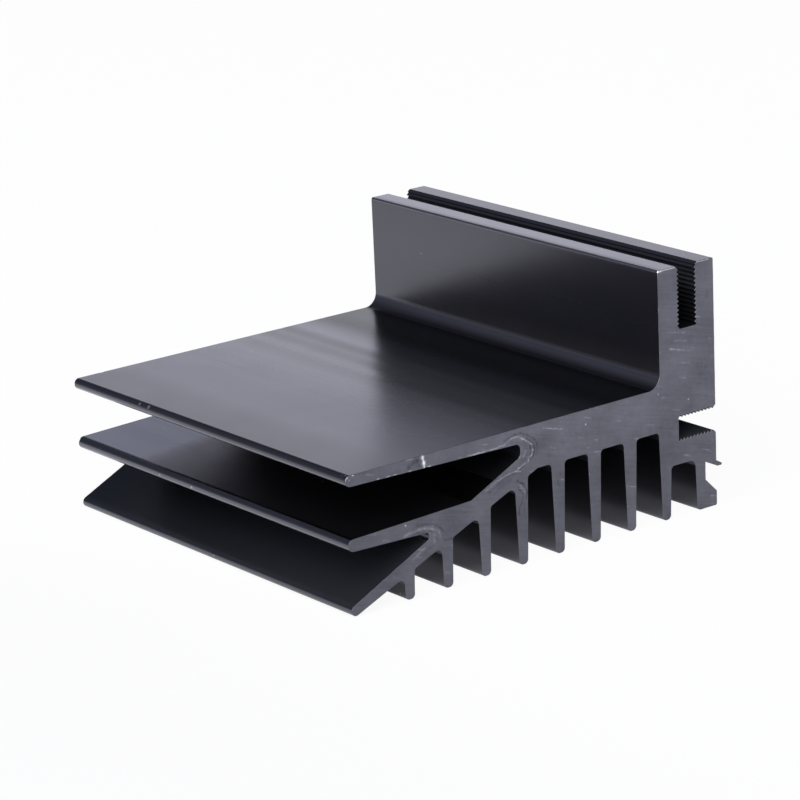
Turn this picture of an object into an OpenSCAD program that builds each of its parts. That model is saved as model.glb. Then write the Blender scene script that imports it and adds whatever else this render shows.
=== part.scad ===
// Extruded aluminium heat sink, cut to length: a thick mounting wall with two serrated screw channels
// and a clip groove, a base that branches into three long fins, and a row of drafted fins underneath.
// The section lies in X and Z, the extrusion runs along Y, and the fin tips stand on Z = 0.

/* [Cut piece] */
// Length of the cut piece along the extrusion
length = 70; // [10:0.5:300]

/* [Mounting wall] */
// Height of the wall above the fin tips
wall_h = 39.4; // [34:0.1:70]
// Thickness of the wall
wall_t = 11.25; // [10:0.05:20]
// Radius of the fillet between the wall and the base
wall_fillet_r = 2.3; // [0.5:0.1:6]
// Radius of the wall's top edges
wall_edge_r = 0.3; // [0.05:0.05:0.8]

/* [Base] */
// Height of the base's top face above the fin tips
base_z = 21.1; // [19.5:0.1:26]
// Thickness of the base beside the wall
base_t = 6.9; // [6.2:0.1:9]
// Distance from the wall at which the underside begins to slope
knee_x = 24.4; // [18:0.1:28]

/* [Long fins] */
// Reach of the long fins from the wall
reach = 59.6; // [55:0.1:66]
// Thickness of the top fin at its tip
top_fin_t = 1.72; // [1.2:0.02:2.4]
// Draft of the top fin's lower face, in degrees
top_fin_draft = 1.3; // [0.5:0.1:2.5]
// Thickness of the middle fin at its tip
mid_fin_t = 1.85; // [1.2:0.05:2.6]
// Height of the middle fin's centre above the fin tips
mid_fin_z = 10.6; // [9:0.1:12]
// Draft of each face of the middle fin, in degrees
mid_fin_draft = 1.7; // [0.5:0.1:2.5]
// Angle between the two faces of the low fin, in degrees
low_fin_draft = 2.95; // [1:0.05:5]
// Distance from the wall to the end of the upper gap
upper_gap_x = 27.6; // [24:0.1:32]
// Height of the upper gap's blunt end
upper_gap_end = 1.95; // [1.2:0.05:2.6]
// Height of the lower gap's blunt end
lower_gap_end = 1; // [0.6:0.05:1.6]
// Radius of the top fin's tip, nearly half its thickness
top_tip_r = 0.8; // [0.1:0.05:0.8]
// Radius of the middle fin's tip, nearly half its thickness
mid_tip_r = 0.9; // [0.1:0.05:0.9]
// Radius of the low fin's tip, which touches the floor
low_tip_r = 0.82; // [0.5:0.02:1.2]
// Radius of the upper gap's corners
upper_gap_r = 0.85; // [0.1:0.05:1.2]
// Radius of the lower gap's corners
lower_gap_r = 0.4; // [0.1:0.05:0.8]

/* [Underside fins] */
// Number of fins
fin_count = 8; // [2:1:8]
// Distance from one fin to the next
fin_pitch = 7.12; // [4:0.02:7.6]
// Thickness of a fin at its tip
fin_t = 1.64; // [1:0.02:2.2]
// Draft of each face of a fin, in degrees
fin_draft = 1.95; // [0.5:0.05:3]
// Distance of the last fin's centre behind the wall's inner face
last_fin_x = 0.88; // [0:0.02:1.6]
// Radius of the fin tips' corners
fin_tip_r = 0.7; // [0.1:0.05:0.8]
// Radius of the corners between the fins and the base
fin_root_r = 0.65; // [0.1:0.05:1.2]
// Radius of the peaks between the fins and the sloping underside
fin_peak_r = 0.9; // [0.1:0.05:1.4]

/* [Screw channels] */
// Distance between the serrations, the thread pitch of the screw
thread_pitch = 0.7; // [0.4:0.05:1]
// Depth of the serrations from crest to root
thread_depth = 0.38; // [0.1:0.02:0.5]
// Depth of the first crest below a channel's mouth
thread_start = 0.19; // [0.05:0.01:0.35]
// Mean width of the top channel
top_channel_w = 3.55; // [2.5:0.05:4.5]
// Depth of the top channel
top_channel_depth = 9.8; // [5:0.1:13]
// Distance of the top channel's middle from the wall's outer face
top_channel_x = 5.5; // [4:0.1:7]
// Chamfer at the top channel's mouth
top_chamfer = 0.45; // [0.1:0.05:0.8]
// Mean width of the side channel
side_channel_w = 3.75; // [2.5:0.05:4.2]
// Depth of the side channel
side_channel_depth = 7.6; // [4:0.1:9]
// Height of the side channel's middle above the fin tips
side_channel_z = 13.98; // [13.4:0.02:15]
// Chamfer at the side channel's mouth
side_chamfer = 0.35; // [0.1:0.05:0.6]

/* [Clip groove and foot] */
// Depth of the clip groove from the wall's outer face
groove_depth = 2.27; // [1:0.05:3]
// Height of the groove's lower corner above the fin tips
groove_z = 4.58; // [3.6:0.02:5.6]
// Slope of the face below the groove, in degrees
groove_slope = 45; // [30:1:55]
// Height at which the lip leaves the wall's outer face
lip_z = 7.2; // [7:0.05:8]
// Reach of the lip from the wall's outer face
lip_reach = 1.12; // [0.5:0.02:1.6]
// Thickness of the lip where it leaves the wall
lip_t = 0.97; // [0.7:0.01:1.2]
// Slope of the lip's upper face, in degrees
lip_slope = 30; // [10:1:35]
// Slope of the groove's roof, in degrees
roof_slope = 25.6; // [15:0.2:30]
// Length of the lip's level underside
lip_flat = 0.87; // [0.4:0.01:1.1]
// Radius of the lip's end
lip_r = 0.15; // [0.02:0.01:0.2]
// Thickness of the foot at its end
foot_t = 4.06; // [3.2:0.02:5]
// Radius of the foot's inner bottom corner
foot_r = 0.7; // [0.1:0.05:1.2]
// Thickness of the web above the hollow between the last fin and the foot
hollow_web = 3.8; // [2.5:0.05:4.5]
// Radius of the hollow's corner at the foot
hollow_r = 1.2; // [0.2:0.05:2]

/* [Hidden] */

// Largest step along a rounded corner, in degrees
arc_step = 9;

// Height by which a channel's cut runs out past its mouth
mouth_clear = 1;

// Heights of the base's underside and of the hollow's ceiling
under_z = base_z - base_t;
hollow_z = side_channel_z - side_channel_w / 2 - hollow_web;

// Middle of the section's width, which lies on the part's own X = 0
mid_x = (wall_t + lip_reach - reach) / 2;

// A face of the section is a straight line, given by a point on it and its direction: [x, z, degrees]
function direction(angle) = [cos(angle), sin(angle)];
function level(z) = [0, z, 0];
function upright(x) = [x, 0, 90];
function z_on(face, x) = face[1] + (x - face[0]) * tan(face[2]);

// Point at which two faces meet
function meet(a, b) =
    let (
        u = direction(a[2]),
        v = direction(b[2]),
        gap = [b[0] - a[0], b[1] - a[1]]
    )
    [a[0], a[1]] + u * cross(gap, v) / cross(u, v);

// Arc of radius r at the corner between two neighbouring corners, or the corner itself where r is 0
function corner_arc(before, corner, after, r) =
    let (
        a = before - corner,
        b = after - corner,
        u = a / norm(a),
        v = b / norm(b),
        half = acos(u * v) / 2,
        room = tan(half) * min(norm(a), norm(b)) / 2,
        radius = min(r, room),
        centre = corner + (u + v) / norm(u + v) * radius / sin(half),
        first = corner + u * radius / tan(half) - centre,
        start = atan2(first[1], first[0]),
        turn = (180 - 2 * half) * sign(cross(v, u)),
        steps = ceil(abs(turn) / arc_step)
    )
    r == 0 ? [corner] : [for (i = [0 : steps]) centre + radius * direction(start + turn * i / steps)];

// Closed outline from a list of [face, radius of the corner to the next face]
function outline(sides) =
    let (
        n = len(sides),
        corners = [for (i = [0 : n - 1]) meet(sides[i][0], sides[(i + 1) % n][0])]
    )
    [
        for (i = [0 : n - 1])
            each corner_arc(corners[(i + n - 1) % n], corners[i], corners[(i + 1) % n], sides[i][1])
    ];

// Low fin: a plate that drops from the base's knee and whose two faces run tangent to its round tip
low_tip = [low_tip_r - reach, low_tip_r];
knee = [-knee_x, under_z];
under_slope = atan2(knee[1] - low_tip[1], knee[0] - low_tip[0]) + asin(low_tip_r / norm(knee - low_tip));
plate_slope = under_slope + low_fin_draft;
function tip_tangent(angle, turn) =
    let (point = low_tip + low_tip_r * direction(angle + turn))
    [point[0], point[1], angle];
lower_plate = tip_tangent(plate_slope, 90);
low_tip_face = tip_tangent((plate_slope + under_slope) / 2 + 90, 90);

// Faces that several stretches of the section share
floor_face = level(0);
tip_face = upright(-reach);
outer_face = upright(wall_t);
base_under = level(under_z);
slope_under = [knee[0], knee[1], under_slope];

// Upper side: wall, base, the three long fins and the two gaps between them
mid_fin_low = mid_fin_z - mid_fin_t / 2;
top_fin_under = [-reach, base_z - top_fin_t, -top_fin_draft];
mid_fin_top = [-reach, mid_fin_low + mid_fin_t, mid_fin_draft];
mid_fin_under = [-reach, mid_fin_low, -mid_fin_draft];
upper_plate = [-upper_gap_x, z_on(top_fin_under, -upper_gap_x) - upper_gap_end, plate_slope];
lower_gap_x = meet(lower_plate, [-reach, mid_fin_low - lower_gap_end, -mid_fin_draft])[0];
upper_sides = [
    [level(wall_h), wall_edge_r],
    [upright(0), wall_fillet_r],
    [level(base_z), top_tip_r],
    [tip_face, top_tip_r],
    [top_fin_under, upper_gap_r],
    [upright(-upper_gap_x), upper_gap_r],
    [upper_plate, upper_gap_r],
    [mid_fin_top, mid_tip_r],
    [tip_face, mid_tip_r],
    [mid_fin_under, lower_gap_r],
    [upright(lower_gap_x), lower_gap_r],
    [lower_plate, low_tip_r],
    [low_tip_face, low_tip_r]
];

// Underside: each fin with the ceiling of the gap before it, which slopes, is level, or does both
fin_xs = [for (i = [0 : fin_count - 1]) last_fin_x - i * fin_pitch];
fin_root_t = fin_t + 2 * under_z * tan(fin_draft);
function fin_face(x, side) = [x + side * fin_t / 2, 0, 90 - side * fin_draft];
function ceiling(i) =
    let (
        slopes = i == fin_count - 1 || fin_xs[i + 1] + fin_root_t / 2 < -knee_x,
        levels = fin_xs[i] - fin_root_t / 2 > -knee_x
    )
    concat(
        slopes ? [[slope_under, levels ? 0 : fin_peak_r]] : [],
        levels ? [[base_under, fin_root_r]] : []
    );
function fin_sides(x) = [
    [fin_face(x, -1), fin_tip_r],
    [floor_face, fin_tip_r],
    [fin_face(x, 1), fin_root_r]
];
under_sides = [for (i = [fin_count - 1 : -1 : 0]) each concat(ceiling(i), fin_sides(fin_xs[i]))];

// Outer side: the hollow, the foot, the clip groove and its lip
lip_under = lip_z - lip_t;
groove_x = wall_t - groove_depth;
lip_x = wall_t + lip_reach;
outer_sides = [
    [level(hollow_z), hollow_r],
    [[wall_t - foot_t, 0, 90 + fin_draft], foot_r],
    [floor_face, wall_edge_r],
    [outer_face, 0],
    [[groove_x, groove_z, 180 - groove_slope], 0],
    [upright(groove_x), 0],
    [[lip_x - lip_flat, lip_under, -roof_slope], 0],
    [level(lip_under), lip_r],
    [upright(lip_x), lip_r],
    [[wall_t, lip_z, -lip_slope], 0],
    [outer_face, wall_edge_r]
];

// Screw channel along -Y from its mouth on Y = 0, with teeth half a pitch apart on its two sides
module screw_channel(width, depth, chamfer) {
    half_pitch = thread_pitch / 2;
    steps = floor((depth - thread_start) / half_pitch);
    crest = (width - thread_depth) / 2;
    root = (width + thread_depth) / 2;
    right = [for (i = [0 : steps]) [i % 2 == 0 ? crest : root, -thread_start - i * half_pitch]];
    left = [for (i = [steps : -1 : 0]) [i % 2 == 0 ? -root : -crest, -thread_start - i * half_pitch]];
    polygon(concat(
        [[crest, mouth_clear]],
        right,
        [[crest, -depth], [-crest, -depth]],
        left,
        [[-crest, mouth_clear]]
    ));
    mouth = width / 2 + chamfer;
    polygon([
        [mouth + mouth_clear, mouth_clear],
        [crest, crest - mouth],
        [-crest, crest - mouth],
        [-mouth - mouth_clear, mouth_clear]
    ]);
}

module section() {
    difference() {
        polygon(outline(concat(upper_sides, under_sides, outer_sides)));
        translate([wall_t - top_channel_x, wall_h])
            screw_channel(top_channel_w, top_channel_depth, top_chamfer);
        translate([wall_t, side_channel_z])
            rotate(-90)
                screw_channel(side_channel_w, side_channel_depth, side_chamfer);
    }
}

module heat_sink() {
    color("#45464d")
        translate([-mid_x, 0, 0])
            rotate([90, 0, 0])
                linear_extrude(height = length, center = true)
                    section();
}

heat_sink();
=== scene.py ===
# %% [markdown]
# # An extruded heat sink
# The part is one length of black anodised aluminium extrusion, sawn at both ends. The packed
# model gives its exact section. This lesson carries that section along the cut length again,
# as a denser surface that can hold broken edges, saw marks and three finishes, and then lights
# it softly on a white table.

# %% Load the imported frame
import math

import bpy
import numpy as np
from mathutils import Matrix, Vector
from mathutils.geometry import delaunay_2d_cdt


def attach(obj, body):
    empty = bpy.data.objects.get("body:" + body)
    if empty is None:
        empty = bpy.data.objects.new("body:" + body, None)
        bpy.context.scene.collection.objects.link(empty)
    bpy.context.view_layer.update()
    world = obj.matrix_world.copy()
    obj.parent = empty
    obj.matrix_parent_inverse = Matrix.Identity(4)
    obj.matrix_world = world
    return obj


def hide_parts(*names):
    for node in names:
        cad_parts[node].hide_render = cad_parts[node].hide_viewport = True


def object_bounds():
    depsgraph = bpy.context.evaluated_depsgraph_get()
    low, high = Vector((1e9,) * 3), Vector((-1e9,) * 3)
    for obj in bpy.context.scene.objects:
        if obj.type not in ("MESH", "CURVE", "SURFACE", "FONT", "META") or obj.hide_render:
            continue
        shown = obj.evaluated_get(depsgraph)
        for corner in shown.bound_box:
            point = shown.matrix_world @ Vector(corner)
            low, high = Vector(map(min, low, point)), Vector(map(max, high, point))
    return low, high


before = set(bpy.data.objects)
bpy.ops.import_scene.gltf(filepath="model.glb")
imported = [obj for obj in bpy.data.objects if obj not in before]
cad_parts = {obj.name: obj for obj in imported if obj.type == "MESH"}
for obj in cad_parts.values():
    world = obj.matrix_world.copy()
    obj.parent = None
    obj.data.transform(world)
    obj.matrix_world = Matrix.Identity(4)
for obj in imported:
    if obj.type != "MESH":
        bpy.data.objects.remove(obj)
cad_low, cad_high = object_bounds()
MM = 0.001
HALF_LENGTH = cad_high.y / MM
print("cut length", round(2 * HALF_LENGTH, 3), "mm")

# %% [markdown]
# ## The section
# An extrusion has the same outline all along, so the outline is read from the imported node's own
# end and not drawn a second time. Triangles of the sides that meet the end plane in an edge, taken
# in their own turning direction, lead from point to point round the section.

# %% Read the outline from the node's end
def end_outline(node, y_end):
    """Closed outline at one end, in mm: each side edge on the end plane gives a step from one
    point to the next, and the steps are followed by doubling a jump until all points are met."""
    mesh = node.data
    mesh.calc_loop_triangles()
    co = np.empty(3 * len(mesh.vertices))
    mesh.vertices.foreach_get("co", co)
    tri = np.empty(3 * len(mesh.loop_triangles), int)
    mesh.loop_triangles.foreach_get("vertices", tri)
    points, same = np.unique(np.round(co.reshape(-1, 3) / MM, 4), axis=0, return_inverse=True)
    tri = same.ravel()[tri].reshape(-1, 3)
    on_end = np.abs(points[:, 1] - y_end) < 1e-3
    side = tri[on_end[tri].sum(1) == 2]
    lone = np.argmin(on_end[side], axis=1)
    rows = np.arange(len(side))
    step = np.zeros(len(points), int)
    step[side[rows, (lone + 1) % 3]] = side[rows, (lone + 2) % 3]
    order = side[:1, 1] if on_end[side[0, 1]] else side[:1, 2]
    jump = step
    while len(order) < len(side):
        order = np.concatenate([order, jump[order]])
        jump = jump[jump]
    return points[order[:len(side)]][:, [0, 2]]


outline = end_outline(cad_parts["heat_sink"], -HALF_LENGTH)
print("outline points", len(outline))

# %% [markdown]
# ## Points where they are needed
# A long flat beside a small round needs a point close to the round. Without it, smooth shading
# bends the flat's reflection over its whole width. The flats also get a point every third of a
# millimetre or so, so that the broken edge at the saw cut can vary along them.

# %% Add guard points and even steps to the outline
# Distance of a guard point from its corner, and the longest step, in mm
GUARD = 0.1
STEP = 0.3


def split(points, counts, place):
    """Each side i of a closed outline is cut into counts[i] pieces: point k of side i lies at
    the share place(k, i) of the way along it."""
    i = np.repeat(np.arange(len(points)), counts)
    k = np.arange(len(i)) - np.repeat(np.cumsum(counts) - counts, counts)
    along = place(k, i)[:, None]
    return points[i] * (1 - along) + np.roll(points, -1, axis=0)[i] * along


def side_lengths(points):
    """Distance from each point of a closed outline to the next."""
    return np.linalg.norm(np.roll(points, -1, axis=0) - points, axis=1)


size = side_lengths(outline)
guarded = split(outline, np.where(size > 5 * GUARD, 3, 1),
                lambda k, i: np.choose(k, [0 * size[i], GUARD / size[i], 1 - GUARD / size[i]]))
count = np.ceil(side_lengths(guarded) / STEP).astype(int)
skin_line = split(guarded, count, lambda k, i: k / count[i])
print("points round the section", len(skin_line))

# %% [markdown]
# ## The sawn edge
# A saw leaves a tiny broken edge round the cut. It is hardly seen but where it is worn or
# knocked, and there it catches the light. A bevel modifier would make it the same all round. Here
# the outline is drawn in by a width that wanders along the edge and grows near each worn place, and
# the ring between the two outlines is the broken edge. How near a point lies to such a place comes
# first.

# %% Nearness to a mark
def gap_to(points, path):
    """Distance from each point to the nearest stretch of a path."""
    start, way = np.array(path[:-1]), np.diff(path, axis=0)
    share = ((points[:, None] - start) * way).sum(2) / np.maximum((way ** 2).sum(1), 1e-9)
    foot = start + np.clip(share, 0, 1)[..., None] * way
    return np.linalg.norm(points[:, None] - foot, axis=2).min(axis=1)


def beside(points, path, reach):
    """Numbers of the points in the path's box, widened by reach. Points are sorted by X."""
    low, high = np.min(path, axis=0) - reach, np.max(path, axis=0) + reach
    first, last = np.searchsorted(points[:, 0], (low[0], high[0]))
    height = points[first:last, 1]
    return first + np.flatnonzero((height > low[1]) & (height < high[1]))


def marked(points, marks):
    """Strength at each point: a bell curve of the distance to each mark, as wide as its reach and
    cut off at 2.5 reaches, times its strength, and the strongest mark wins."""
    order = np.argsort(points[:, 0])
    strength = np.zeros(len(points))
    for path, reach, most in marks:
        near = order[beside(points[order], path, 2.5 * reach)]
        strength[near] = np.maximum(strength[near], most * np.exp(-(gap_to(points[near], path) / reach) ** 2))
    return strength


print("strength 1 mm from a mark of reach 1:", marked(np.array([(0.0, 1.0)]), [([(-1, 0), (1, 0)], 1, 1)]).round(2))

# %% Draw the outline in at the cut
# Width of the broken edge in mm, and the most waves of it round the section
EDGE_LEAST, EDGE_MOST, EDGE_WAVES = 0.015, 0.05, 300
# Worn places, in mm on the section: path, reach, added width
NEAR_WORN = [([(-22.2, 21.1), (-22.1, 21.1)], 0.25, 0.12), ([(-36.0, 20.4), (-35.9, 20.6)], 0.25, 0.05),
             ([(-34.7, 21.1), (-34.6, 21.1)], 0.2, 0.06), ([(-30.4, 19.3), (-30.2, 19.3)], 0.2, 0.1),
             ([(-28.3, 19.2), (-28.0, 19.2)], 0.2, 0.09), ([(-27.2, 19.2), (-26.9, 19.2)], 0.2, 0.12),
             ([(-24.6, 19.1), (-24.5, 19.1)], 0.2, 0.1), ([(-21.4, 19.1), (-21.2, 19.1)], 0.2, 0.1),
             ([(8.0, 21.1), (8.1, 21.1)], 0.2, 0.09), ([(9.8, 21.1), (9.9, 21.1)], 0.2, 0.07),
             ([(23.6, 39.3), (23.8, 39.4)], 0.3, 0.1), ([(24.0, 39.4), (27.2, 39.4)], 0.2, 0.03),
             ([(31.2, 39.4), (34.6, 39.4)], 0.2, 0.035), ([(23.6, 38.8), (23.6, 30.0)], 0.2, 0.03)]
FAR_WORN = [([(-31.0, 21.1), (-30.8, 21.1)], 0.2, 0.12), ([(4.0, 21.1), (4.2, 21.1)], 0.2, 0.1),
            ([(31.5, 39.4), (34.6, 39.4)], 0.2, 0.05), ([(-35.9, 11.0), (-35.8, 11.2)], 0.2, 0.1)]


def drawn_in(points, width):
    """Outline moved inwards by width: each point goes along the sum of its two side normals,
    lengthened so that both sides move by that width."""
    side = np.roll(points, -1, axis=0) - points
    side /= np.linalg.norm(side, axis=1)[:, None]
    (x, z), (x_next, z_next) = points.T, np.roll(points, -1, axis=0).T
    turn = np.sign(np.sum(x * z_next - z * x_next))
    normal = turn * np.column_stack([-side[:, 1], side[:, 0]])
    before = np.roll(normal, 1, axis=0)
    # The lower bound keeps a very sharp corner from shooting far inwards
    share = np.maximum(1 + (normal * before).sum(axis=1), 0.3)
    return points + width[:, None] * (normal + before) / share[:, None]


def wandering(count, waves, seed):
    """Smooth closed random line from 0 to 1: a sum of 24 sine waves with seeded phases, each with
    a quarter of the given number of waves or more."""
    rng = np.random.default_rng(seed)
    turns = 2 * math.pi * np.arange(count)[:, None] / count * rng.integers(waves // 4, waves, 24)
    line = np.sin(turns + rng.uniform(0, 2 * math.pi, 24)).sum(axis=1)
    return (line - line.min()) / np.ptp(line)


widths = []
for seed, places in ((3, NEAR_WORN), (8, FAR_WORN)):
    wander = wandering(len(skin_line), EDGE_WAVES, seed)
    widths.append(EDGE_LEAST + (EDGE_MOST - EDGE_LEAST) * wander + marked(skin_line, places))
cut_line = [drawn_in(skin_line, width) for width in widths]
print("edge width", np.round(np.min(widths), 3), "to", np.round(np.max(widths), 3), "mm")

# %% [markdown]
# ## Marks on the cut
# Where two streams of metal join behind the die, at the roots of the long fins, the cut shows
# pale and dark flow lines round the root. Both ends show them, because they run through the whole
# length. The saw and handling add scratches and smudges to each end, and a bright gouge to the near
# one, with painted shade beside the gouge. Each mark is a line with a reach and a strength. The pale
# and dark ones are roughened a little so that they don't look drawn. What a mark gives each point of
# the end face is kept there for the material to use. Shader nodes for every line would be many.

# %% Flow lines, in mm on the section: path, reach, strength
PALE_FLOW = [
    ([(-14.0, 19.05), (-8.5, 19.0), (-6.8, 19.2), (-6.0, 19.74), (-4.5, 19.9), (-3.1, 19.1), (-1.8, 18.1)],
     0.09, 0.9),
    ([(-1.6, 17.3), (-1.9, 16.5), (-2.5, 16.2), (-2.5, 15.7), (-3.9, 15.1), (-4.5, 14.95)], 0.13, 0.9),
    ([(-4.1, 14.5), (-5.4, 14.7), (-6.8, 14.45), (-8.8, 13.9)], 0.1, 0.65),
    ([(-8.8, 13.9), (-10.6, 13.0)], 0.2, 0.25),
    ([(-4.6, 12.6), (-3.6, 11.7), (-3.3, 10.9)], 0.16, 0.25),
    ([(-2.9, 17.4), (-3.4, 16.6)], 0.12, 0.5),
    ([(-26.0, 9.7), (-23.7, 10.15), (-21.6, 10.0), (-19.7, 9.0), (-19.4, 8.1)], 0.2, 0.3),
    ([(-21.8, 9.4), (-20.4, 8.5), (-20.6, 7.4)], 0.16, 0.35),
    ([(-22.4, 7.1), (-23.5, 6.5), (-24.6, 5.9)], 0.12, 0.35),
]
DARK_FLOW = [
    ([(-7.0, 19.75), (-5.6, 20.2), (-4.0, 20.3), (-2.5, 19.6), (-1.0, 18.5), (-0.6, 17.3), (-1.1, 16.5)], 0.2, 0.6),
    ([(-2.9, 19.3), (-1.5, 18.3), (-1.2, 17.2), (-1.5, 16.4), (-2.2, 15.7)], 0.14, 0.85),
    ([(-5.6, 19.1), (-3.3, 18.4), (-2.6, 17.6), (-3.0, 16.3), (-4.2, 15.6)], 0.4, 0.3),
    ([(-2.2, 17.9), (-1.9, 16.9), (-2.3, 16.1), (-3.1, 15.3), (-4.2, 14.7)], 0.15, 0.75),
    ([(-6.6, 19.4), (-5.9, 19.95)], 0.12, 0.7),
    ([(-5.2, 14.4), (-6.8, 14.1), (-8.4, 13.4), (-10.2, 12.6)], 0.22, 0.5),
    ([(-4.8, 13.1), (-3.6, 12.2), (-3.0, 11.1), (-3.1, 10.2)], 0.14, 0.85),
    ([(-4.6, 12.0), (-3.9, 11.2), (-3.7, 10.3), (-4.1, 9.6), (-4.5, 8.9), (-4.6, 7.9)], 0.13, 0.75),
    ([(-3.4, 9.6), (-3.6, 8.4), (-3.5, 7.2)], 0.1, 0.6),
    ([(-6.2, 13.6), (-7.6, 13.1), (-9.0, 12.3)], 0.4, 0.3),
    ([(-25.8, 9.4), (-23.7, 9.6), (-21.4, 9.4), (-20.0, 7.8)], 0.16, 0.6),
    ([(-24.0, 10.7), (-21.8, 10.6), (-19.9, 9.9), (-18.8, 8.7)], 0.22, 0.5),
    ([(-22.5, 6.3), (-21.2, 6.95), (-20.5, 7.35)], 0.2, 0.55),
    ([(-18.6, 7.4), (-16.8, 7.3)], 0.14, 0.5),
]
print("flow lines", len(PALE_FLOW + DARK_FLOW))

# %% Scratches, smudges, painted shade beside the gouge and bare places, in mm on the section: path, reach, strength
NEAR_PALE = [
    ([(0.6, 20.05), (2.2, 19.6), (4.0, 19.15)], 0.1, 0.55),
    ([(25.7, 26.85), (27.7, 26.3)], 0.1, 0.65),
    ([(27.7, 26.3), (29.9, 25.75)], 0.1, 0.35),
    ([(26.7, 28.0), (29.2, 27.4)], 0.1, 0.3),
    ([(25.0, 29.65), (28.8, 28.8)], 0.1, 0.3),
    ([(-25.2, 21.0), (-24.0, 20.9)], 0.12, 0.5),
]
NEAR_DARK = [
    ([(1.4, 15.75), (1.5, 15.7)], 0.42, 0.45),
    ([(4.2, 17.0), (4.2, 17.1)], 0.4, 0.3),
    ([(3.5, 12.3), (3.4, 12.2)], 0.25, 0.8),
    ([(2.9, 11.3), (3.2, 10.6)], 0.22, 0.45),
    # Painted shade beside the bright gouge: these two marks darken the end next to it
    ([(-24.7, 19.8), (-23.8, 20.2), (-22.8, 20.5)], 0.4, 0.75),
    ([(-23.6, 19.6), (-22.6, 19.5)], 0.3, 0.6),
    ([(21.4, 15.3), (21.4, 14.6)], 0.35, 0.25),
    ([(18.2, 15.1), (18.0, 14.8)], 0.35, 0.22),
    ([(15.1, 15.4), (15.1, 14.9)], 0.3, 0.22),
    ([(33.6, 34.4), (33.4, 33.5)], 0.22, 0.3),
    ([(28.0, 16.6), (30.0, 17.0)], 0.5, 0.25),
    ([(-35.0, 20.0), (-34.6, 20.2)], 0.22, 0.35),
]
NEAR_BARE = [
    ([(-22.1, 20.85), (-22.08, 20.6)], 0.2, 1.0),
    ([(-22.05, 20.5), (-21.95, 20.1)], 0.11, 1.0),
    ([(-21.93, 19.95), (-21.9, 19.75)], 0.24, 1.0),
    ([(-21.88, 19.5), (-21.86, 19.2)], 0.12, 0.9),
    ([(-30.35, 19.33), (-30.1, 19.32)], 0.09, 1.0),
    ([(-28.6, 19.3), (-28.0, 19.27)], 0.07, 0.8),
    ([(-27.4, 19.26), (-26.9, 19.24)], 0.09, 1.0),
    ([(-24.7, 19.17), (-24.3, 19.15)], 0.09, 1.0),
    ([(-21.2, 19.08), (-20.8, 19.07)], 0.1, 1.0),
    ([(-35.66, 20.8), (-35.65, 20.8)], 0.09, 0.9),
    ([(-34.7, 20.99), (-34.6, 20.99)], 0.09, 1.0),
    ([(-35.3, 20.4), (-35.29, 20.4)], 0.07, 0.6),
    ([(8.7, 18.8), (8.71, 18.8)], 0.1, 0.8),
    ([(29.3, 18.2), (29.31, 18.2)], 0.1, 0.6),
    ([(-25.7, 11.3), (-25.69, 11.3)], 0.1, 0.9),
    ([(23.2, 20.3), (23.21, 20.3)], 0.1, 0.4),
    ([(23.95, 39.26), (24.3, 39.31)], 0.14, 1.0),
    ([(24.3, 39.31), (27.0, 39.32)], 0.09, 0.85),
    ([(31.6, 39.33), (33.9, 39.33)], 0.08, 0.75),
]
FAR_PALE = [([(26.0, 33.0), (31.0, 31.8)], 0.1, 0.5), ([(10.0, 18.6), (14.5, 17.5)], 0.1, 0.5)]
FAR_DARK = [([(-12.0, 19.9), (-10.5, 19.6)], 0.3, 0.4), ([(30.5, 9.5), (30.6, 9.4)], 0.4, 0.4)]
FAR_BARE = [([(19.5, 17.8), (19.51, 17.8)], 0.1, 0.7)]
print("marks of the near end", len(NEAR_PALE + NEAR_DARK + NEAR_BARE))

# %% Roughen the marks and add the small scratches
# Way of the saw across the cut, as a slope, and the length of a piece of a mark in mm
SAW_SLOPE = -0.25
PIECE = 0.35


def roughened(marks, seed, shake, weakest):
    """Each path cut into pieces of about a third of a millimetre, whose points are moved at random
    by up to shake, and each piece given its own share of the strength, from weakest to one."""
    rng = np.random.default_rng(seed)
    pieces = []
    for path, reach, strength in marks:
        run = np.concatenate([[0], np.cumsum(np.linalg.norm(np.diff(path, axis=0), axis=1))])
        at = np.linspace(0, run[-1], max(2, int(run[-1] / PIECE) + 1))
        points = np.column_stack([np.interp(at, run, column) for column in np.transpose(path)])
        points += rng.uniform(-shake, shake, points.shape)
        pieces += [(points[i:i + 2].tolist(), reach, strength * rng.uniform(weakest, 1))
                   for i in range(len(points) - 1)]
    return pieces


def short_scratches(count, seed):
    """Random short scratches along the way of the saw: each a straight line 0.3 to 1.6 mm wide in X."""
    rng = np.random.default_rng(seed)
    low, high = skin_line.min(axis=0), skin_line.max(axis=0)
    start = rng.uniform(low, high, (count, 2))
    length = rng.uniform(0.3, 1.6, count)
    slope = SAW_SLOPE + rng.normal(0, 0.06, count)
    end = start + np.column_stack([length, length * slope])
    strength = rng.uniform(0.1, 0.4, count)
    return [([a, b], 0.08, most) for a, b, most in zip(start.tolist(), end.tolist(), strength)]


MARKS = [
    {"pale": roughened(PALE_FLOW + NEAR_PALE, 1, 0.05, 0.6) + short_scratches(150, 2),
     "dark": roughened(DARK_FLOW + NEAR_DARK, 4, 0.11, 0.3), "bare": NEAR_BARE},
    {"pale": roughened(PALE_FLOW + FAR_PALE, 5, 0.05, 0.6) + short_scratches(150, 6),
     "dark": roughened(DARK_FLOW + FAR_DARK, 7, 0.11, 0.3), "bare": FAR_BARE},
]
print("marks", [{label: len(group) for label, group in marks.items()} for marks in MARKS])

# %% [markdown]
# ## The end faces
# One large face with corners only at its rim could carry no marks. The end face is filled with an
# even field of points, closer together along the marks, and a constrained Delaunay triangulation
# joins them to the cut line.

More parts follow.
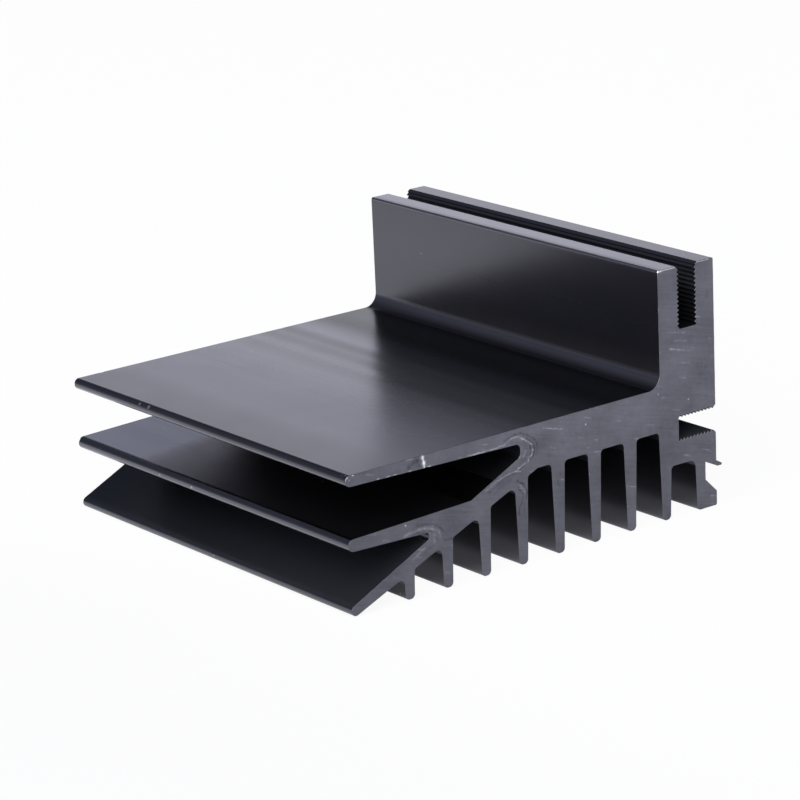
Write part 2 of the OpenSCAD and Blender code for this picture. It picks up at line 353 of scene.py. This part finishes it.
# %% Even points, and those that lie inside an outline
def inside(points, line):
    """True where a ray to the right crosses the outline an odd number of times."""
    a, b = line, np.roll(line, -1, axis=0)
    slope = (b[:, 0] - a[:, 0]) / np.where(b[:, 1] == a[:, 1], 1, b[:, 1] - a[:, 1])
    x, z = points[:, :1], points[:, 1:]
    crosses = ((a[:, 1] > z) != (b[:, 1] > z)) & (x < a[:, 0] + (z - a[:, 1]) * slope)
    return crosses.sum(axis=1) % 2 == 1


def clear_of(points, line, gap):
    """True where every point of the outline is further than gap."""
    return np.hypot(points[:, :1] - line[:, 0], points[:, 1:] - line[:, 1]).min(axis=1) > gap


def staggered(line, step):
    """Staggered rows of points over the outline's box."""
    low, high = line.min(axis=0), line.max(axis=0)
    x, z = np.meshgrid(np.arange(low[0], high[0], step), np.arange(low[1], high[1], step * 0.866))
    x += step / 2 * (np.arange(len(x)) % 2)[:, None]
    return np.column_stack([x.ravel(), z.ravel()])


print("points 1 mm apart over the section's box", len(staggered(skin_line, 1)))

# %% Fill an end with points
# Step of the points away from the marks and along them, and how far "along" reaches, in mm
FIELD, FINE_FIELD, FINE_REACH = 0.34, 0.1, 0.3


def field(line, marks):
    """Points inside the outline and a little clear of it: wide steps away from the marks, fine
    steps along them."""
    paths = [path for group in marks.values() for path, _, _ in group]
    kept = []
    for step, wanted in ((FIELD, False), (FINE_FIELD, True)):
        points = staggered(line, step)
        points = points[np.argsort(points[:, 0])]
        near = np.zeros(len(points), bool)
        for path in paths:
            at = beside(points, path, FINE_REACH)
            near[at] |= gap_to(points[at], path) < FINE_REACH
        # In parts, which keeps the tables of distances small
        parts = np.array_split(points[near == wanted], 40)
        kept += [p[inside(p, line) & clear_of(p, line, 0.45 * step)] for p in parts]
    return np.concatenate(kept)


def filled(line, marks):
    """(points, triangles) of an end: the cut line's points first, then the field's."""
    points = np.concatenate([line, field(line, marks)])
    ring = np.arange(len(line))
    made = delaunay_2d_cdt(points.tolist(), np.column_stack([ring, np.roll(ring, -1)]).tolist(),
                           [ring.tolist()], 1, 1e-7)
    assert len(made[0]) == len(points) and np.allclose(np.array(made[0]), points, atol=1e-4)
    return points, np.array(made[2])


ends = [filled(line, marks) for line, marks in zip(cut_line, MARKS)]
print("end triangles", [len(triangles) for _, triangles in ends])

# %% [markdown]
# ## Streaks of the top face
# The film isn't the same all round the section. Over the roots of the fins, where thick and thin
# metal cooled at different rates, the top face has paler, duller and milkier streaks along its whole
# length. A stretched noise would put them anywhere, so a table gives them by their place. The
# paleness also falls away in the strip beside the wall, which is painted shade.

# %% Streaks across the top face
# Place across the face in mm, dullness, paleness, milkiness, lean in degrees
# Painted shade: the paleness column falls away toward the wall, which darkens the strip beside it
STREAKS = np.array([
    (-36, 0.29, 0.35, 0, 2.6), (-30, 0.29, 0.41, 0, 2.4), (-25, 0.29, 0.63, 0, 2), (-20, 0.285, 0.67, 0, 1.4),
    (-16, 0.275, 0.68, 0.2, 1.1), (-12, 0.27, 0.63, 0.9, 1), (-10, 0.27, 0.67, 1.1, 1.1), (-8, 0.275, 0.72, 1.15, 1.2),
    (-7, 0.275, 0.73, 1.2, 1.3), (-6, 0.275, 0.63, 1.3, 1.4), (-5, 0.28, 0.57, 1.4, 1.5), (-4, 0.28, 0.51, 1.6, 1.8),
    (-3, 0.27, 0.45, 1.45, 1.9), (-2, 0.26, 0.61, 0.8, 1.7), (-1, 0.265, 0.6, 0.75, 1.8), (0, 0.29, 0.49, 0.9, 2.6),
    (1, 0.31, 0.38, 1.05, 3.6), (2, 0.31, 0.44, 0.85, 3.2), (3, 0.285, 0.51, 0.6, 2.6), (4, 0.31, 0.38, 0.75, 3),
    (5, 0.32, 0.32, 0.85, 3.6), (6, 0.29, 0.46, 0.4, 2.9), (7, 0.275, 0.73, 0.05, 2.2), (8, 0.285, 0.68, 0, 2.5),
    (10, 0.29, 0.54, 0, 2.8), (12, 0.28, 0.27, 0, 3.1), (14, 0.26, 0.09, 0, 3.5), (17, 0.24, 0.07, 0, 4),
    (20, 0.23, 0.04, 0, 4.2)])


def in_box(left, right, bottom, top):
    """One at each point of the section inside the box, nought elsewhere."""
    return ((x > left) & (x < right) & (z > bottom) & (z < top)).astype(float)


def streak(column, elsewhere):
    """A column of the streaks across the top face, and another value elsewhere."""
    return np.where(on_top, np.interp(x, STREAKS[:, 0], STREAKS[:, column]), elsewhere)


x, z = skin_line.T
on_top = in_box(-36.1, 21.5, 20.9, 21.3) > 0
print("points on the top face", on_top.sum())

# %% [markdown]
# ## Zones of the film, with painted light and shade
# Other faces have a film of their own, and some zones also paint light and shade into the colour.
# Hidden roots and the inside of the top channel are darker, the more so deeper down the channel, as
# painted shade. The undersides of the round tips and the second fin are paler as painted light. The
# top of the wall's front ridge is paler as painted light, darkening toward its front edge as painted
# shade, and the rounded edge itself is paler as a painted highlight. The foot of the wall is dull and
# milky, the fillet turns from dark to pale as painted shade and highlight, and a faint bloom stays on
# the lowest fin and in the side channel. Paint on a picture would need an unwrapped mesh. Here each
# zone is a box on the section, in mm, often with a soft border, and its values are kept at the
# points of the section.

# %% Zones round the section
tip_middle = np.where(z > 15, 20.15, 10.5)
# Painted light: the round tips are paler, the more so toward their undersides
tips = in_box(-36.1, -35.1, 9, 20.9) * np.clip((tip_middle - z) / 0.4, 0.35, 1.5)
fillet = in_box(21.5, 23.8, 20.9, 23.4)
# Painted shade and highlight: the fillet is darker at its foot and paler across its upper half
fillet_painted_light = fillet * np.interp(z, (21.2, 21.65, 22.25, 22.7), (-0.21, -0.07, 0.29, 0.12))
wall_foot = in_box(23, 23.8, 22.6, 26.5) * np.clip((26.5 - z) / 3.5, 0, 1)
low_wall = in_box(23.5, 23.7, 23.2, 33) * (33 - z) / 10
# Painted light and shade: the ridge's top is paler and darker near its front edge, and the rounded edge is a painted
# highlight
ridge = in_box(23.85, 27.3, 39.35, 39.45) * np.interp(x, (23.95, 25), (-0.3, 0.4))
ridge_edge = in_box(23.5, 23.95, 39.05, 39.45)
# Painted light: the second fin is paler
second_fin = in_box(-35.1, -14.5, 11.4, 12.3)
low_fin = in_box(-35.9, -20, 0, 8) * (z > 0.42 * (x + 35.2) + 0.9) * np.clip((x + 35.9) / 0.9, 0, 1)
top_channel = in_box(26.9, 31.9, 29, 39) * np.clip((38.6 - z) / 4, 0, 1)
side_channel = in_box(27.5, 36.1, 11.8, 16.2)
underside = 14.2 + 0.39 * np.minimum(x + 0.8, 0)
fin_roots = (np.abs(z - underside + 0.55) < 0.65) * in_box(-34, 23.5, 1, 14.4)
# Painted shade: the hidden roots and the top channel take a darker colour, the more so deeper down the channel
shaded_hollows = top_channel + in_box(-12, -3.4, 14.3, 19.3) + 0.7 * fin_roots
print("points in the roots and the top channel", np.count_nonzero(shaded_hollows))

# %% Film round the section
ZONES = {
    "dull": streak(1, 0.25 + 0.1 * low_wall - 0.05 * (tips > 0) + 0.05 * fillet - 0.08 * second_fin
                   + 0.35 * np.minimum(shaded_hollows, 1)),
    # Paleness: 0.47 and the streaks are the film's own tone, except for the painted shade beside the wall; what the
    # tips, fillet, second fin, ridge and rounded edge add is painted light and shade
    "paleness_and_painted_light": streak(2, 0.47 + 0.53 * tips + fillet_painted_light + 0.8 * second_fin + ridge + 0.6 * ridge_edge),
    "milk": streak(3, 0.25 * wall_foot + 0.05 * second_fin + 0.15 * ridge_edge),
    "painted_hollow_shade": shaded_hollows,
    "bloom": low_fin + 1.5 * side_channel,
    # Painted shade: what the film gives back at a low angle is less in the dark strip beside the wall
    "grazing_painted_shade": 1 - 0.2 * on_top * np.clip((x - 9) / 4, 0, 1),
}
print("film", {label: [round(float(v), 3) for v in (zone.min(), zone.max())] for label, zone in ZONES.items()})

# %% [markdown]
# ## Lean of the faces
# An extruded face is never quite flat. The top face, the wall and the second fin lean by a few
# degrees at most, which the outline doesn't show and the reflections do. Moving the points would
# change the section, so the lean goes into the shading alone: added up round the section it is a
# height, and a Bump node turns the slope of that height into a tilt.

# %% Lean as a height in mm round the section
lean = np.radians(streak(4, -second_fin * np.interp(x, (-35.1, -29), (2.2, 2.7))))
wall_lean = np.radians(1.1) * in_box(23.5, 23.7, 23.2, 39.2)
fall = np.cumsum(wall_lean * (np.roll(z, -1) - z) - lean * (np.roll(x, -1) - x))
# A slope too small to see closes the height round the section
ZONES["sag"] = fall - np.linspace(0, fall[-1], len(fall))
print("height that stands for the lean", round(float(np.ptp(ZONES["sag"])), 2), "mm")

# %% [markdown]
# ## The body
# The outline is carried along the cut length as rows of points, with the drawn-in outline as
# the first and the last row, and the two filled ends close it. An extruded curve would do for the
# skin alone. Shared points at the seams make one closed body with its ends.

# %% Carry the outline along the cut
# Distance of the first inner row from the cut, in mm, and the number of inner rows
INSET, INNER_ROWS = 0.6, 7


def flat_at(line, y):
    """Outline points put at the place y along the cut."""
    return np.column_stack([line[:, 0], np.broadcast_to(y, len(line)), line[:, 1]])


def skin_rows():
    """Points of the rows along Y, and the four-sided faces that join each row to the next."""
    n = len(skin_line)
    rows = [flat_at(cut_line[0], -HALF_LENGTH), flat_at(skin_line, -HALF_LENGTH + widths[0])]
    rows += [flat_at(skin_line, y) for y in np.linspace(-HALF_LENGTH + INSET, HALF_LENGTH - INSET, INNER_ROWS)]
    rows += [flat_at(skin_line, HALF_LENGTH - widths[1]), flat_at(cut_line[1], HALF_LENGTH)]
    i, row = np.meshgrid(np.arange(n), n * np.arange(len(rows) - 1))
    after = (i + 1) % n
    return np.concatenate(rows), np.stack([row + i, row + after, row + n + after, row + n + i], -1).reshape(-1, 4)


row_points, row_faces = skin_rows()
print("rows", len(row_points) // len(skin_line), "with", len(row_faces), "faces between them")

# %% Close the body and keep the film at its points
# Width at which a broken edge has lost all its film, in mm, and the angle of an edge that stays sharp
FULL_WEAR, SHARP = 0.15, math.radians(28)


def keep(mesh, label, values):
    """Keep one value at each point of the mesh."""
    mesh.attributes.new(label, "FLOAT", "POINT").data.foreach_set("value", values)


def heat_sink_body(name):
    """Rows of the outline along Y, closed by the two filled ends. The faces are numbered 0 for the
    skin, 1 for the cut and 2 for the broken edge between them."""
    n, first = len(skin_line), len(row_points)
    (near, near_tri), (far, far_tri) = ends
    points = np.concatenate([row_points, flat_at(near[n:], -HALF_LENGTH), flat_at(far[n:], HALF_LENGTH)])
    near_at = np.concatenate([np.arange(n), first + np.arange(len(near) - n)])
    far_at = np.concatenate([first - n + np.arange(n), first + len(near) - n + np.arange(len(far) - n)])
    faces = row_faces.tolist() + near_at[near_tri].tolist() + far_at[far_tri][:, ::-1].tolist()
    mesh = bpy.data.meshes.new(name)
    mesh.from_pydata(points * MM, [], faces)
    finish = np.repeat([2, 0, 2, 1], [n, len(row_faces) - 2 * n, n, len(near_tri) + len(far_tri)])
    mesh.polygons.foreach_set("material_index", finish)
    for label in MARKS[0]:
        strength = np.zeros(len(points))
        for marks, at, flat in ((MARKS[0], near_at, near), (MARKS[1], far_at, far)):
            strength[at] = marked(flat, marks[label])
        keep(mesh, label, strength)
    for label, zone in ZONES.items():
        keep(mesh, label, np.concatenate([np.tile(zone, first // n), np.zeros(len(points) - first)]))
    worn = np.zeros(len(points))
    worn[:2 * n] = np.tile(widths[0], 2)
    worn[first - 2 * n:first] = np.tile(widths[1], 2)
    keep(mesh, "worn", np.clip(worn / FULL_WEAR, 0, 1))
    mesh.shade_smooth()
    mesh.set_sharp_from_angle(angle=SHARP)
    mesh.update()
    made = bpy.data.objects.new(name, mesh)
    bpy.context.scene.collection.objects.link(made)
    return made


body = heat_sink_body("heat_sink_body")
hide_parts("heat_sink")
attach(body, "root")
body.data.calc_loop_triangles()
print("body triangles", len(body.data.loop_triangles))

# %% [markdown]
# ## Materials
# Black anodising is a dyed oxide film grown on the metal. It keeps the metal's reflection but
# takes most of its light away. Black paint under a clear coat would look glassy, so the film is
# shaded as a metal with a dark colour.

# %% Colour and node helpers
def linear(code):
    """sRGB hex code to the linear values that shaders work in."""
    v = np.array([int(code[i:i + 2], 16) for i in (1, 3, 5)]) / 255
    return (*np.where(v <= 0.04045, v / 12.92, ((v + 0.055) / 1.055) ** 2.4), 1.0)


def add(tree, kind, settings=None, **links):
    """Add a node of this kind. Settings are attributes or socket values. Links are sockets by name,
    with underscores for spaces, or by n and a number for sockets that share a name."""
    node = tree.nodes.new(kind)
    for key, value in (settings or {}).items():
        if isinstance(key, str) and hasattr(node, key):
            setattr(node, key, value)
        else:
            node.inputs[key].default_value = value
    for key, source in links.items():
        by_number = key[0] == "n" and key[1:].isdigit()
        tree.links.new(source, node.inputs[int(key[1:]) if by_number else key.replace("_", " ")])
    return node


def new_material(name):
    """Empty node material with its output and one Principled shader."""
    material = bpy.data.materials.new(name)
    material.use_nodes = True
    tree = material.node_tree
    tree.nodes.clear()
    shader = add(tree, "ShaderNodeBsdfPrincipled")
    add(tree, "ShaderNodeOutputMaterial", None, Surface=shader.outputs["BSDF"])
    return material, tree, shader


print("dark grey #404040 is", round(float(linear("#404040")[0]), 3), "in linear light")

# %% [markdown]
# ### Extruded skin
# The die leaves the metal smooth, with faint waves along the way it was pushed. The zones of the
# film set how dull and how pale it is, and part of that paleness is painted light and shade. A soft
# noise varies the dullness, and a few specks of dust and bright nicks on the fin tips break it. All
# of it is worked out from the place on the part, so no picture has to be wrapped round the section.

# %% Black anodised aluminium, as extruded: waves and dullness
# To the eye: satin black metal that turns pale grey where it is seen at a low angle
skin, tree, shader = new_material("black_anodised_extruded_skin")
place = add(tree, "ShaderNodeTexCoord").outputs["Object"]
zone = {label: add(tree, "ShaderNodeAttribute", {"attribute_name": label}).outputs["Fac"] for label in ZONES}
lines = add(tree, "ShaderNodeMapping", {"vector_type": "TEXTURE", "Scale": (2.8 * MM, 300 * MM, 300 * MM)},
            Vector=place)
waves = add(tree, "ShaderNodeTexNoise", {"Scale": 1.0, "Detail": 1.0, "Roughness": 0.4},
            Vector=lines.outputs["Vector"])
leaning = add(tree, "ShaderNodeBump", {"Strength": 1.0, "Distance": MM}, Height=zone["sag"])
bend = add(tree, "ShaderNodeBump", {"Strength": 1.0, "Distance": 0.012 * MM}, Height=waves.outputs["Fac"],
           Normal=leaning.outputs["Normal"])
cloud = add(tree, "ShaderNodeTexNoise", {"Scale": 1 / (9 * MM), "Detail": 1.0}, Vector=place)
rough = add(tree, "ShaderNodeMath", {"operation": "MULTIPLY_ADD", 1: 0.04}, n0=cloud.outputs["Fac"],
            n2=zone["dull"])
rough = add(tree, "ShaderNodeMath", {"operation": "SUBTRACT", 1: 0.02}, n0=rough.outputs[0])
print("nodes of the skin so far", len(tree.nodes))

# %% Colour of the skin
# Bright nicks on the fin tips: place and radius in mm
NICKS = [(-35.8, 17.0, 20.8, 0.3), (-35.8, 14.6, 20.8, 0.4), (-35.9, 12.5, 10.5, 0.17), (-35.9, 4.0, 10.5, 0.2),
         (-35.5, -34.4, 21.0, 0.16), (-35.6, -33.8, 20.9, 0.13)]
dots = add(tree, "ShaderNodeTexVoronoi", {"Scale": 1 / (5 * MM)}, Vector=place)
dust = add(tree, "ShaderNodeMapRange", {"From Min": 0.012, "From Max": 0.022, "To Min": 1.0, "To Max": 0.0},
           Value=dots.outputs["Distance"])
# The paleness sets the colour, so the painted light and shade of the zones shows here
colour = add(tree, "ShaderNodeMix", {"data_type": "RGBA", "clamp_factor": False,
                                     6: linear("#262529"), 7: linear("#8A8993")}, n0=zone["paleness_and_painted_light"])
# The hollow layer is painted shade; bloom, dust and the nicks are the part's own colours
layers = [(zone["bloom"], "#3F4149"), (zone["painted_hollow_shade"], "#2A2A30"), (dust.outputs["Result"], "#B9B8B2")]
for *centre, radius in NICKS:
    gap = add(tree, "ShaderNodeVectorMath", {"operation": "DISTANCE", 1: [v * MM for v in centre]}, n0=place)
    spot = add(tree, "ShaderNodeMapRange", {"From Min": 0.5 * radius * MM, "From Max": radius * MM,
                                            "To Min": 1.0, "To Max": 0.0}, Value=gap.outputs["Value"])
    layers.append((spot.outputs["Result"], "#EDEDF0"))
for share, code in layers:
    colour = add(tree, "ShaderNodeMix", {"data_type": "RGBA", 7: linear(code)}, n0=share, n6=colour.outputs[2])
print("colours of the skin", 2 + len(layers))

# %% Milk, bloom and dust of the skin
# A milky film scatters light as paint does, so there the skin is less of a metal. The bloom fades
# from the near end to the far one
along = add(tree, "ShaderNodeSeparateXYZ", None, Vector=place).outputs["Y"]
fade = add(tree, "ShaderNodeMapRange", {"From Min": -HALF_LENGTH * MM, "From Max": HALF_LENGTH * MM,
                                        "To Min": 0.32, "To Max": 0.02}, Value=along)
matt = add(tree, "ShaderNodeMath", {"operation": "MULTIPLY_ADD", 1: 0.2}, n0=zone["milk"],
           n2=dust.outputs["Result"])
matt = add(tree, "ShaderNodeMath", {"operation": "MULTIPLY_ADD"}, n0=zone["bloom"], n1=fade.outputs["Result"],
           n2=matt.outputs[0])
metal = add(tree, "ShaderNodeMath", {"operation": "SUBTRACT", 0: 1.0, "use_clamp": True}, n1=matt.outputs[0])
for source, socket in ((colour.outputs[2], "Base Color"), (metal.outputs[0], "Metallic"),
                       (rough.outputs[0], "Roughness"), (bend.outputs["Normal"], "Normal"),
                       (zone["grazing_painted_shade"], "Specular Tint")):
    tree.links.new(source, shader.inputs[socket])
print("nodes of the skin", len(tree.nodes))

# %% [markdown]
# ### Sawn ends
# The ends were anodised after sawing, so the film follows the saw's fine lines and looks greyer
# than the skin. The colour is also a touch darker toward the foot, as painted shade. The lines lean
# the way the blade passed. A noise stretched along that way gives them, softer noises give the
# mottled film, and the marks made above are mixed in.

# %% Black anodised aluminium, as sawn
# To the eye: matt dark grey with faint slanting lines. Real saw lines lie a tenth of a millimetre
# apart, too fine to show, and are drawn three times as far apart
sawn, tree, shader = new_material("black_anodised_sawn_end")
place = add(tree, "ShaderNodeTexCoord").outputs["Object"]
turned = add(tree, "ShaderNodeMapping", {"vector_type": "TEXTURE", "Rotation": (0, -math.atan(SAW_SLOPE), 0),
                                         "Scale": (6 * MM, 100 * MM, 0.3 * MM)}, Vector=place)
saw = add(tree, "ShaderNodeTexNoise", {"Scale": 1.0, "Detail": 3.0, "Roughness": 0.6},
          Vector=turned.outputs["Vector"])
saw_bump = add(tree, "ShaderNodeBump", {"Strength": 1.0, "Distance": 0.003 * MM}, Height=saw.outputs["Fac"])
blotch = add(tree, "ShaderNodeTexNoise", {"Scale": 1 / (5.5 * MM), "Detail": 2.0}, Vector=place)
grain = add(tree, "ShaderNodeTexNoise", {"Scale": 1 / (0.6 * MM), "Detail": 3.0, "Roughness": 0.6}, Vector=place)
tone = add(tree, "ShaderNodeMath", {"operation": "MULTIPLY_ADD", 1: 0.6}, n0=saw.outputs["Fac"],
           n2=blotch.outputs["Fac"])
tone = add(tree, "ShaderNodeMath", {"operation": "MULTIPLY_ADD", 1: 0.45}, n0=grain.outputs["Fac"],
           n2=tone.outputs[0])
# Painted shade: the colour darkens toward the foot and is a touch paler higher up
height = add(tree, "ShaderNodeMapRange", {"From Min": 9 * MM, "From Max": 17 * MM, "To Min": -0.13, "To Max": 0.06},
             Value=add(tree, "ShaderNodeSeparateXYZ", None, Vector=place).outputs["Z"])
tone = add(tree, "ShaderNodeMath", {"operation": "ADD"}, n0=tone.outputs[0], n1=height.outputs["Result"])
tone = add(tree, "ShaderNodeMapRange", {"From Min": 0.68, "From Max": 1.37}, Value=tone.outputs[0])
colour = add(tree, "ShaderNodeMix", {"data_type": "RGBA", 6: linear("#5C5C65"), 7: linear("#74747E")},
             n0=tone.outputs["Result"])
print("nodes of the sawn end so far", len(tree.nodes))

# %% Marks on the sawn end
# Colour of each kind of mark, and how much of it stays where the grain breaks it most
# The dark marks hold flow lines and smudges, and also the painted shade beside the gouge
for label, code, least in (("pale", "#C0C0CA", 0.25), ("dark", "#2B2B33", 0.4), ("bare", "#F2F2F6", 0.9)):
    mark = add(tree, "ShaderNodeAttribute", {"attribute_name": label})
    broken = add(tree, "ShaderNodeMapRange", {"From Min": 0.35, "From Max": 0.65, "To Min": least, "To Max": 1.2},
                 Value=grain.outputs["Fac"])
    share = add(tree, "ShaderNodeMath", {"operation": "MULTIPLY", "use_clamp": True}, n0=mark.outputs["Fac"],
                n1=broken.outputs["Result"])
    colour = add(tree, "ShaderNodeMix", {"data_type": "RGBA", 7: linear(code)}, n0=share.outputs[0],
                 n6=colour.outputs[2])
tree.links.new(colour.outputs[2], shader.inputs["Base Color"])
tree.links.new(saw_bump.outputs["Normal"], shader.inputs["Normal"])
shader.inputs["Metallic"].default_value = 1.0
shader.inputs["Roughness"].default_value = 0.46
print("nodes of the sawn end", len(tree.nodes))

# %% [markdown]
# ### Worn edge
# On a sharp edge the film wears thin first and bright metal shows through. A node that finds edges
# would wear them all alike. Here the wider the edge is broken, the more metal shows.

# %% Anodised aluminium, worn to the metal
# To the eye: a thin dark grey edge with bright glints at the knocked places
worn_edge, tree, shader = new_material("worn_anodised_edge")
place = add(tree, "ShaderNodeTexCoord").outputs["Object"]
grain = add(tree, "ShaderNodeTexNoise", {"Scale": 1 / (1.1 * MM), "Detail": 2.0}, Vector=place)
worn = add(tree, "ShaderNodeAttribute", {"attribute_name": "worn"})
share = add(tree, "ShaderNodeMath", {"operation": "MULTIPLY"}, n0=worn.outputs["Fac"], n1=grain.outputs["Fac"])
share = add(tree, "ShaderNodeMapRange", {"From Min": 0.2, "From Max": 0.5}, Value=share.outputs[0])
colour = add(tree, "ShaderNodeMix", {"data_type": "RGBA", 6: linear("#66666F"), 7: linear("#E8E8EC")},
             n0=share.outputs["Result"])
tree.links.new(colour.outputs[2], shader.inputs["Base Color"])
shader.inputs["Metallic"].default_value = 1.0
shader.inputs["Roughness"].default_value = 0.4
# In the order of the numbers that the faces carry
for finish in (skin, sawn, worn_edge):
    body.data.materials.append(finish)
print("finishes", [finish.name for finish in body.data.materials])

# %% [markdown]
# ## White table
# The part stands on a white sheet that fades into a grey table on the left, and the fin tips mirror
# this as a soft change from dark to bright. A real sheet would end in sight, so the table is one wide
# disc, and its material holds the fade. To the camera it is white all over, but for the shadow.

# %% White table
# Radius of the table and its depth under the part, in m
TABLE_RADIUS, TABLE_DEPTH = 4, 0.0002
turn = np.linspace(0, 2 * math.pi, 96, endpoint=False)
rim = np.column_stack([TABLE_RADIUS * np.cos(turn), TABLE_RADIUS * np.sin(turn), np.full(len(turn), -TABLE_DEPTH)])
floor_mesh = bpy.data.meshes.new("white_table")
floor_mesh.from_pydata(rim, [], [list(range(len(turn)))])
table = bpy.data.objects.new("white_table", floor_mesh)
bpy.context.scene.collection.objects.link(table)
print("table", 2 * TABLE_RADIUS, "m across")

# %% Sheet of paper on the table
# To the eye: matt white. The share of plain white keeps the part's shadow soft and pale
paper = bpy.data.materials.new("white_table_sheet")
paper.use_nodes = True
tree = paper.node_tree
tree.nodes.clear()
path = add(tree, "ShaderNodeLightPath")
seen = path.outputs["Is Camera Ray"]
for kind in ("Is Glossy Ray", "Is Transmission Ray"):
    seen = add(tree, "ShaderNodeMath", {"operation": "MAXIMUM"}, n0=seen, n1=path.outputs[kind]).outputs[0]
# Distance across the fade to the left of the part, which runs at a slant to the cut length
across = add(tree, "ShaderNodeVectorMath", {"operation": "DOT_PRODUCT", 1: (1.0, 0.25, 0.0)},
             n0=add(tree, "ShaderNodeTexCoord").outputs["Object"])
sheet = add(tree, "ShaderNodeMapRange", {"From Min": -0.1, "From Max": -0.03}, Value=across.outputs["Value"])
share = add(tree, "ShaderNodeMath", {"operation": "MULTIPLY"}, n0=seen, n1=sheet.outputs["Result"])
share = add(tree, "ShaderNodeMath", {"operation": "MULTIPLY", 1: 0.25}, n0=share.outputs[0])
share = add(tree, "ShaderNodeMath", {"operation": "MULTIPLY_ADD", 1: 0.7}, n0=path.outputs["Is Camera Ray"],
            n2=share.outputs[0])
sheet = add(tree, "ShaderNodeMath", {"operation": "MAXIMUM"}, n0=sheet.outputs["Result"],
            n1=path.outputs["Is Camera Ray"])
colour = add(tree, "ShaderNodeMix", {"data_type": "RGBA", 6: linear("#8C8C8C"), 7: linear("#F4F4F4")},
             n0=sheet.outputs[0])
matt = add(tree, "ShaderNodeBsdfDiffuse", None, Color=colour.outputs[2])
white = add(tree, "ShaderNodeEmission", {"Color": (1, 1, 1, 1), "Strength": 1.0})
mixed = add(tree, "ShaderNodeMixShader", None, n0=share.outputs[0], n1=matt.outputs[0], n2=white.outputs[0])
add(tree, "ShaderNodeOutputMaterial", None, Surface=mixed.outputs[0])
table.data.materials.append(paper)
print("nodes of the sheet", len(tree.nodes))

# %% [markdown]
# ## Room
# Dark polished metal shows its surroundings more than its own colour. Low down, the room is bright
# from the front round by the right to the back, and the top face mirrors the end of that band. From
# there round to the left it is dim and brightest at the horizon, so the wall stays black and its
# fillet gets a soft line of light. Higher up it is dim all round. A picture of a room could give this
# too, but a few smooth ramps are easier to change. The camera sees plain white, and reflections show
# the room itself: with white on every side, the wall and the fins would turn grey.

# %% Room light
world = bpy.data.worlds.new("soft_room")
bpy.context.scene.world = world
world.use_nodes = True
tree = world.node_tree
tree.nodes.clear()
way = add(tree, "ShaderNodeTexCoord").outputs["Generated"]
rise = add(tree, "ShaderNodeSeparateXYZ", None, Vector=way).outputs["Z"]
glow = add(tree, "ShaderNodeMapRange", {"interpolation_type": "SMOOTHSTEP", "From Min": 0.24, "From Max": 0.44,
                                        "To Min": 1.0, "To Max": 0.0}, Value=rise)
side = add(tree, "ShaderNodeVectorMath", {"operation": "DOT_PRODUCT", 1: (-0.707, 0.707, 0.0)}, n0=way)
dark = add(tree, "ShaderNodeMapRange", {"interpolation_type": "SMOOTHSTEP", "From Min": 0.15, "From Max": 0.65,
                                        "To Min": 1.0, "To Max": 0.0}, Value=side.outputs["Value"])
glow = add(tree, "ShaderNodeMath", {"operation": "MULTIPLY"}, n0=glow.outputs["Result"], n1=dark.outputs["Result"])
left = add(tree, "ShaderNodeMapRange", {"interpolation_type": "SMOOTHSTEP", "From Min": -0.05, "From Max": 0.3,
                                        "To Min": 0.29, "To Max": 0.16}, Value=rise)
level = add(tree, "ShaderNodeMapRange", {"To Max": 0.1}, Value=dark.outputs["Result"],
            To_Min=left.outputs["Result"])
level = add(tree, "ShaderNodeMath", {"operation": "MULTIPLY_ADD", 1: 1.2}, n0=glow.outputs[0],
            n2=level.outputs[0])
print("nodes of the room so far", len(tree.nodes))

# %% Colour of the room, and white for the camera
camera_ray = add(tree, "ShaderNodeLightPath").outputs["Is Camera Ray"]
strength = add(tree, "ShaderNodeMath", {"operation": "MAXIMUM"}, n0=level.outputs[0], n1=camera_ray)
tint = add(tree, "ShaderNodeMix", {"data_type": "RGBA", 6: linear("#DCE6FF"), 7: linear("#F4F4FF")},
           n0=glow.outputs[0])
tint = add(tree, "ShaderNodeMix", {"data_type": "RGBA", 7: (1, 1, 1, 1)}, n0=camera_ray, n6=tint.outputs[2])
sky = add(tree, "ShaderNodeBackground", None, Color=tint.outputs[2], Strength=strength.outputs[0])
add(tree, "ShaderNodeOutputWorld", None, Surface=sky.outputs[0])
print("nodes of the room", len(tree.nodes))

# %% [markdown]
# ## Soft box
# The near sawn end faces the front, where only the low part of the room is bright. A large soft box
# in front on the left lights the end evenly. A small lamp would put hard glints on the saw lines.

# %% Soft box in front on the left
box = bpy.data.objects.new("soft_box", bpy.data.lights.new("soft_box", "AREA"))
bpy.context.scene.collection.objects.link(box)
box.data.shape = "RECTANGLE"
box.data.size, box.data.size_y = 2.2, 2.2
box.data.energy = 59
stand = Vector((-1.2, -0.7, 1.2))
box.matrix_world = Matrix.Translation(stand) @ stand.to_track_quat("Z", "Y").to_matrix().to_4x4()
print("soft box", round(stand.length, 2), "m away")

# %% [markdown]
# ## Camera
# A long lens from half a metre away keeps the far end nearly as large as the near one. The place and
# the way of the camera follow from how the section and the cut length shorten in the view, so they
# are given as numbers: its place, and the directions that are right, up and back for it. Turning
# the camera to a target by a constraint would lose the slight roll.

# %% Camera
PLACE = (-0.312851, -0.41169, 0.172258)
RIGHT, UP, BACK = (0.786662, -0.615892, -0.042896), (0.209694, 0.201193, 0.956844), (-0.580682, -0.761707, 0.28742)
camera = bpy.data.objects.new("camera", bpy.data.cameras.new("camera"))
bpy.context.scene.collection.objects.link(camera)
camera.data.sensor_width = 36
camera.data.lens = 157.08
camera.data.clip_start, camera.data.clip_end = 0.01, 20
camera.matrix_world = Matrix.Translation(PLACE) @ Matrix((RIGHT, UP, BACK)).transposed().to_4x4()
bpy.context.scene.camera = camera
bpy.context.scene.view_settings.view_transform = "Standard"
print("camera", round(Vector(PLACE).length, 3), "m from the middle of the part's foot")
